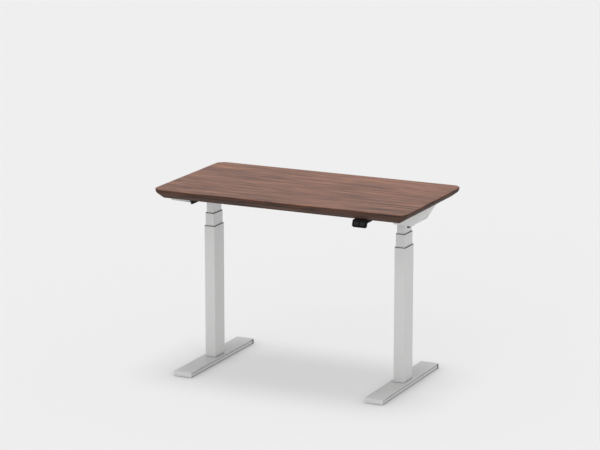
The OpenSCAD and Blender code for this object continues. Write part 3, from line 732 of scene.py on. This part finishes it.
def add_bearing(side, place):
    """Bearing with a seal set back between its two rings"""
    node = side + "_spindle_bearing"
    low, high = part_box(node)
    outer = (high.x - low.x) / 2
    chamfer = 0.3 * MM
    land = 0.7 * MM
    lip = 0.9 * MM
    seal = 0.5 * MM
    profile = [
        (BEARING_BORE_R, low.z + chamfer), (BEARING_BORE_R + chamfer, low.z), (BEARING_BORE_R + land, low.z),
        (BEARING_BORE_R + lip, low.z + seal), (outer - lip, low.z + seal), (outer - land, low.z),
        (outer - chamfer, low.z), (outer, low.z + chamfer),
        (outer, high.z - chamfer), (outer - chamfer, high.z), (outer - land, high.z),
        (outer - lip, high.z - seal), (BEARING_BORE_R + lip, high.z - seal), (BEARING_BORE_R + land, high.z),
        (BEARING_BORE_R + chamfer, high.z), (BEARING_BORE_R, high.z - chamfer),
    ]
    shape = bmesh.new()
    lathe(shape, profile, place, 48, closed=True)
    make_piece(node + "_sealed", shape, body_of_node[node], "spindle_steel", node)


def add_drive(side):
    """Spindles, nuts and bearing of one column"""
    place = column_place(side + "_upper_spindle")
    add_upper_spindle(side, place)
    add_hollow_spindle(side, place)
    add_nut(side + "_spindle_nut", SPINDLE_NUT_BORE_R, place)
    add_nut(side + "_base_nut", BASE_NUT_BORE_R, place)
    add_bearing(side, place)


def add_motor(side):
    """Drawn can with a rolled crimp, a ribbed end cap and its screws. It lies along Y."""
    low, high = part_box(side + "_motor")
    centre = (low + high) / 2
    radius = (high.z - low.z) / 2
    length = high.y - low.y
    crimp = length - MOTOR_CAP_L
    place = Matrix.Translation((centre.x, low.y, centre.z)) @ Matrix.Rotation(math.radians(-90), 4, "X")
    shape = bmesh.new()
    lathe(shape, [
        (radius - 2 * MM, 0), (radius - 1.2 * MM, 0.4 * MM), (radius - 1 * MM, 1.4 * MM),
        (radius - 1 * MM, 8 * MM), (radius - 1.5 * MM, 8.6 * MM), (radius - 1.5 * MM, 9.8 * MM),
        (radius - 1 * MM, 10.4 * MM), (radius - 1 * MM, crimp - 4 * MM),
        (radius - 0.2 * MM, crimp - 3.2 * MM), (radius - 0.2 * MM, crimp - 1 * MM),
        (radius - 1 * MM, crimp - 0.2 * MM), (radius - 1 * MM, crimp),
    ], place, 64)
    make_piece(side + "_motor_can", shape, "desk_top", "black_motor_paint", side + "_motor")

    shape = bmesh.new()
    ribs = 32
    steps = ribs * 4
    outline = [(radius - (0.0 if i % 4 < 2 else 0.7 * MM)) for i in range(steps)]

    def ribbed(z, shrink=0.0):
        return [(*polar(r - shrink, i, steps), z) for i, r in enumerate(outline)]

    boss = [
        (radius - 3 * MM, length - 1.2 * MM), (8 * MM, length - 1.2 * MM), (7.2 * MM, length),
        (3.4 * MM, length), (3.0 * MM, length - 1 * MM),
    ]
    rings = [ribbed(crimp + 0.1 * MM, 0.8 * MM), ribbed(crimp + 0.9 * MM)]
    rings += [ribbed(length - 3 * MM), ribbed(length - 1.8 * MM, 0.8 * MM)]
    rings += [at_height(circle(r, steps), z) for r, z in boss]
    loft(shape, rings, place)
    make_piece(side + "_motor_end_cap", shape, "desk_top", "black_plastic")

    shape = bmesh.new()
    screw_circle = 12.5 * MM
    for turn in (math.radians(55), math.radians(235)):
        spot = place @ Matrix.Translation((screw_circle * math.cos(turn), screw_circle * math.sin(turn), 0))
        lathe(shape, [
            (2.6 * MM, length - 1.4 * MM), (2.6 * MM, length - 0.6 * MM), (2.0 * MM, length - 0.1 * MM),
            (1.1 * MM, length - 0.1 * MM), (0.9 * MM, length - 0.8 * MM),
        ], spot, 20)
    make_piece(side + "_motor_screws", shape, "desk_top", "screw_steel")


def add_worm_cover(side):
    """Cover plate on the front of the worm's housing, with its four screws"""
    housing_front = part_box(side + "_gearbox")[0].y
    low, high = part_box(side + "_motor")
    centre = (low + high) / 2
    half_w = (high.x - low.x) / 2 - 2 * MM
    half_h = half_w + 1 * MM
    plate = 1.6 * MM
    upright = Matrix.Rotation(math.radians(90), 4, "X")
    place = Matrix.Translation((centre.x, housing_front, centre.z)) @ upright

    def ring(inset, radius, z):
        return at_height(rounded_outline(half_w - inset * MM, half_h - inset * MM, radius * MM), z)

    shape = bmesh.new()
    loft(shape, [
        ring(1.2, 5, -0.2 * MM), ring(1.2, 5, plate - 0.5 * MM), ring(1.7, 4.5, plate),
        ring(7, 2, plate), ring(7.6, 1.5, plate - 0.7 * MM),
    ], place)
    make_piece(side + "_worm_cover", shape, "desk_top", "cast_housing")

    shape = bmesh.new()
    corner = 4.6 * MM
    for sx in (-1, 1):
        for sy in (-1, 1):
            spot = place @ Matrix.Translation((sx * (half_w - corner), sy * (half_h - corner), 0))
            lathe(shape, [
                (1.9 * MM, plate - 0.2 * MM), (1.9 * MM, plate + 0.5 * MM), (1.4 * MM, plate + 0.9 * MM),
                (0.9 * MM, plate + 0.9 * MM), (0.7 * MM, plate + 0.2 * MM),
            ], spot, 18)
    make_piece(side + "_worm_cover_screws", shape, "desk_top", "screw_steel")


def add_gearbox_ribs(side):
    """Four ribs on the front and four on the rear of the casting, under its mounting plate"""
    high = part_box(side + "_gearbox")[1]
    tube_low, tube_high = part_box(side + "_inner_tube")
    column_x = (tube_low.x + tube_high.x) / 2
    face_y = (tube_high.y - tube_low.y) / 2
    ribs = 4
    spacing = 9
    half_t = 1.1 * MM
    shape = bmesh.new()
    for sy in (-1, 1):
        reach = sy * face_y
        outline = [
            (reach - sy * 0.5 * MM, tube_high.z + 3 * MM), (reach + sy * 2.0 * MM, tube_high.z + 4 * MM),
            (reach + sy * 6.0 * MM, high.z - 5 * MM), (reach - sy * 0.5 * MM, high.z - 4.2 * MM),
        ]
        for i in range(ribs):
            x = column_x + (i - (ribs - 1) / 2) * spacing * MM
            loft(shape, [[(x + dx, y, z) for y, z in outline] for dx in (-half_t, half_t)])
    bmesh.ops.bevel(
        shape, geom=list(shape.edges), offset=0.4 * MM, offset_type="OFFSET", segments=2, profile=0.5,
        affect="EDGES",
    )
    make_piece(side + "_gearbox_ribs", shape, "desk_top", "cast_housing")


# ---------- leads ----------

MOTOR_LEAD_R = 2.5 * MM
HANDSET_LEAD_R = 2 * MM
# Points along the middle of a lead, in millimetres. The left motor's lead mirrors the right one's.
RIGHT_LEAD_ROUTE = [
    (467, 76, 722), (467, 84, 722), (466, 91, 724), (461, 98, 727), (452, 102, 731), (440, 102, 735),
    (426, 99, 737), (412, 94, 738), (398, 89, 738), (384, 86, 738), (368, 84, 738), (300, 84, 738),
    (220, 84, 738), (140, 84, 738), (112, 84, 737), (99, 84, 734), (87, 84, 730), (76, 85, 726),
    (67, 88, 723), (62, 91, 722), (60, 95, 722), (60, 101, 722),
]
HANDSET_LEAD_ROUTE = [
    (352, -214, 738), (352, -206, 738), (352, -190, 738), (352, -160, 738), (352, -130, 738),
    (352, -104, 738), (352, -92, 736), (352, -83, 731), (351, -76, 724), (350, -69, 718),
    (348, -61, 714), (344, -50, 713), (336, -34, 713), (318, -10, 713), (292, 14, 713), (262, 32, 713),
    (228, 44, 713), (190, 52, 713), (150, 58, 713), (110, 62, 713), (76, 65, 713), (50, 67, 714),
    (30, 70, 716), (15, 76, 719), (5, 84, 721), (1, 90, 722), (0, 95, 722), (0, 101, 722),
]


def smooth_path(points, steps=4):
    """Catmull-Rom curve through the points"""
    ends = [points[0] * 2 - points[1]] + points + [points[-1] * 2 - points[-2]]
    path = []
    for a, b, c, d in zip(ends, ends[1:], ends[2:], ends[3:]):
        bend = 2 * a - 5 * b + 4 * c - d
        twist = 3 * b - 3 * c + d - a
        for i in range(steps):
            t = i / steps
            path.append(0.5 * (2 * b + (c - a) * t + bend * t * t + twist * t ** 3))
    return path + [points[-1]]


def tube_along(shape, path, radius, steps=14):
    """Round tube about a line of points that never runs straight up"""
    up = Vector((0, 0, 1))
    rings = []
    for i, point in enumerate(path):
        along = (path[min(i + 1, len(path) - 1)] - path[max(i - 1, 0)]).normalized()
        across = along.cross(up).normalized()
        over = across.cross(along)
        ring = [point + radius * (across * x + over * y) for x, y in circle(1, steps)]
        rings.append([tuple(corner) for corner in ring])
    loft(shape, rings)


def add_lead(node, route, radius, mirrored=False):
    points = [Vector((-x if mirrored else x, y, z)) * MM for x, y, z in route]
    shape = bmesh.new()
    tube_along(shape, smooth_path(points), radius)
    make_piece(node + "_sheath", shape, "desk_top", "lead_sheath", node)


def add_relief(name, start, radius, length):
    """Ribbed, tapered sleeve where a lead leaves a housing towards +Y"""
    towards = Vector((0, 1, 0)).to_track_quat("Z", "Y").to_matrix().to_4x4()
    place = Matrix.Translation(start) @ towards
    wide = radius + 1.9 * MM
    narrow = radius + 0.5 * MM
    groove = 0.6 * MM
    ribs = 5
    profile = [(wide, -0.3 * MM), (radius + 2.1 * MM, 0.6 * MM)]
    for i in range(ribs):
        along = length * (0.15 + 0.8 * i / ribs)
        swell = wide * (1 - i / ribs) + narrow * i / ribs
        profile += [
            (swell, along), (swell, along + length * 0.06), (swell - groove, along + length * 0.08),
            (swell - groove, along + length * 0.13),
        ]
    profile.append((radius + 0.2 * MM, length))
    shape = bmesh.new()
    lathe(shape, profile, place, 20)
    make_piece(name, shape, "desk_top", "black_plastic")


def add_leads():
    add_lead("right_motor_lead", RIGHT_LEAD_ROUTE, MOTOR_LEAD_R)
    add_lead("left_motor_lead", RIGHT_LEAD_ROUTE, MOTOR_LEAD_R, mirrored=True)
    add_lead("handset_lead", HANDSET_LEAD_ROUTE, HANDSET_LEAD_R)
    x, y, z = RIGHT_LEAD_ROUTE[0]
    for side, sign in (("right", 1), ("left", -1)):
        add_relief(side + "_motor_lead_relief", Vector((sign * x, y, z)) * MM, MOTOR_LEAD_R, 9 * MM)
    add_relief("handset_lead_relief", Vector(HANDSET_LEAD_ROUTE[0]) * MM, HANDSET_LEAD_R, 14 * MM)


# ---------- control box ----------

# Length of the ear that a screw goes through, at each end of the box
EAR_L = 14 * MM


def add_control_box_details():
    """Corner screws on the control box's underside, and the rim where its lid meets the box"""
    low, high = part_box("control_box")
    half_x = (high.x - low.x) / 2 - EAR_L
    half_y = (high.y - low.y) / 2
    centre_y = (low.y + high.y) / 2
    corner = 8 * MM
    shape = bmesh.new()
    for sx in (-1, 1):
        for sy in (-1, 1):
            x = sx * (half_x - corner)
            y = centre_y + sy * (half_y - corner)
            add_screw_head(shape, x, y, low.z - 0.1 * MM, low.z + 1.6 * MM, 3.2 * MM)
    make_piece("control_box_screws", shape, "desk_top", "screw_steel")

    seam = high.z - 11 * MM

    def ring(grow, radius, z):
        return at_height(rounded_outline(half_x + grow * MM, half_y + grow * MM, radius * MM), z)

    shape = bmesh.new()
    loft(shape, [
        ring(-1, 5, seam - 1.2 * MM), ring(0.5, 5.5, seam - 0.9 * MM),
        ring(0.5, 5.5, seam + 0.9 * MM), ring(-1, 5, seam + 1.2 * MM),
    ], Matrix.Translation((0, centre_y, 0)))
    make_piece("control_box_rim", shape, "desk_top", "black_plastic")


# ---------- feet ----------

GLIDE_PAD_H = 5 * MM
GLIDE_STUD_R = 4 * MM


def add_glide(side, end):
    """Glide with a rounded, knurled pad and a threaded stud"""
    node = f"{side}_{end}_glide"
    low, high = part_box(node)
    centre = (low + high) / 2
    radius = (high.x - low.x) / 2
    place = Matrix.Translation((centre.x, centre.y, 0))
    base = low.z
    top = base + GLIDE_PAD_H
    groove = 0.45 * MM
    knurls = 30
    steps = knurls * 4

    def plain(r, z):
        return at_height(circle(r, steps), z)

    def knurled(z, shrink):
        radii = [radius - shrink - (groove if i % 4 in (2, 3) else 0) for i in range(steps)]
        return [(*polar(r, i, steps), z) for i, r in enumerate(radii)]

    shape = bmesh.new()
    loft(shape, [
        plain(radius - 4 * MM, base + 0.5 * MM),
        plain(radius - 3.2 * MM, base), plain(radius - 1.2 * MM, base),
        knurled(base + 0.8 * MM, 0.2 * MM), knurled(base + 1.4 * MM, 0),
        knurled(top - 1.2 * MM, 0), knurled(top - 0.5 * MM, 0.5 * MM),
        plain(radius - 2 * MM, top), plain(4.5 * MM, top),
    ], place)
    make_piece(node + "_pad", shape, body_of_node[node], "glide_rubber", node)

    shape = bmesh.new()
    thread(shape, GLIDE_STUD_R, top - 0.2 * MM, high.z, 1.25 * MM, 0.5 * MM, place)
    make_piece(node + "_stud", shape, body_of_node[node], "screw_steel")


# ---------- the whole desk ----------

# How far each node's edges are rounded, by what the piece is made of
SOFT_EDGES = {
    "powder_coated_steel": 0.5 * MM,
    "black_plastic": 0.6 * MM,
    "dark_grey_plastic": 0.4 * MM,
    "collar_plastic": 0.3 * MM,
    "guide_plastic": 0.3 * MM,
    "cast_housing": 0.7 * MM,
    "spindle_steel": 0.3 * MM,
}


def paint_cad_nodes():
    for node, slot in slot_of_node.items():
        mesh = frame["nodes"][node].data
        mesh.materials.clear()
        mesh.materials.append(finish[slot])


BOLT_HEAD_R = 5.2 * MM
WOOD_SCREW_HEAD_R = 4.5 * MM


def add_pieces():
    add_tabletop()
    for side in ("left", "right"):
        add_drive(side)
        add_motor(side)
        add_worm_cover(side)
        add_gearbox_ribs(side)
        for end in ("front", "rear"):
            add_glide(side, end)
        add_fasteners(side + "_foot_screws", BOLT_HEAD_R, 5 * MM, add_bolt_head)
    add_fasteners("frame_bolts", BOLT_HEAD_R, 3.5 * MM, add_bolt_head)
    add_fasteners("top_screws", WOOD_SCREW_HEAD_R, 2.5 * MM, add_screw_head)
    add_leads()
    add_control_box_details()
    for node, slot in slot_of_node.items():
        if slot in SOFT_EDGES and not frame["nodes"][node].hide_render:
            soften(node, SOFT_EDGES[slot])


add_camera()
add_studio()
add_lamps()
add_floor()
paint_cad_nodes()
add_pieces()
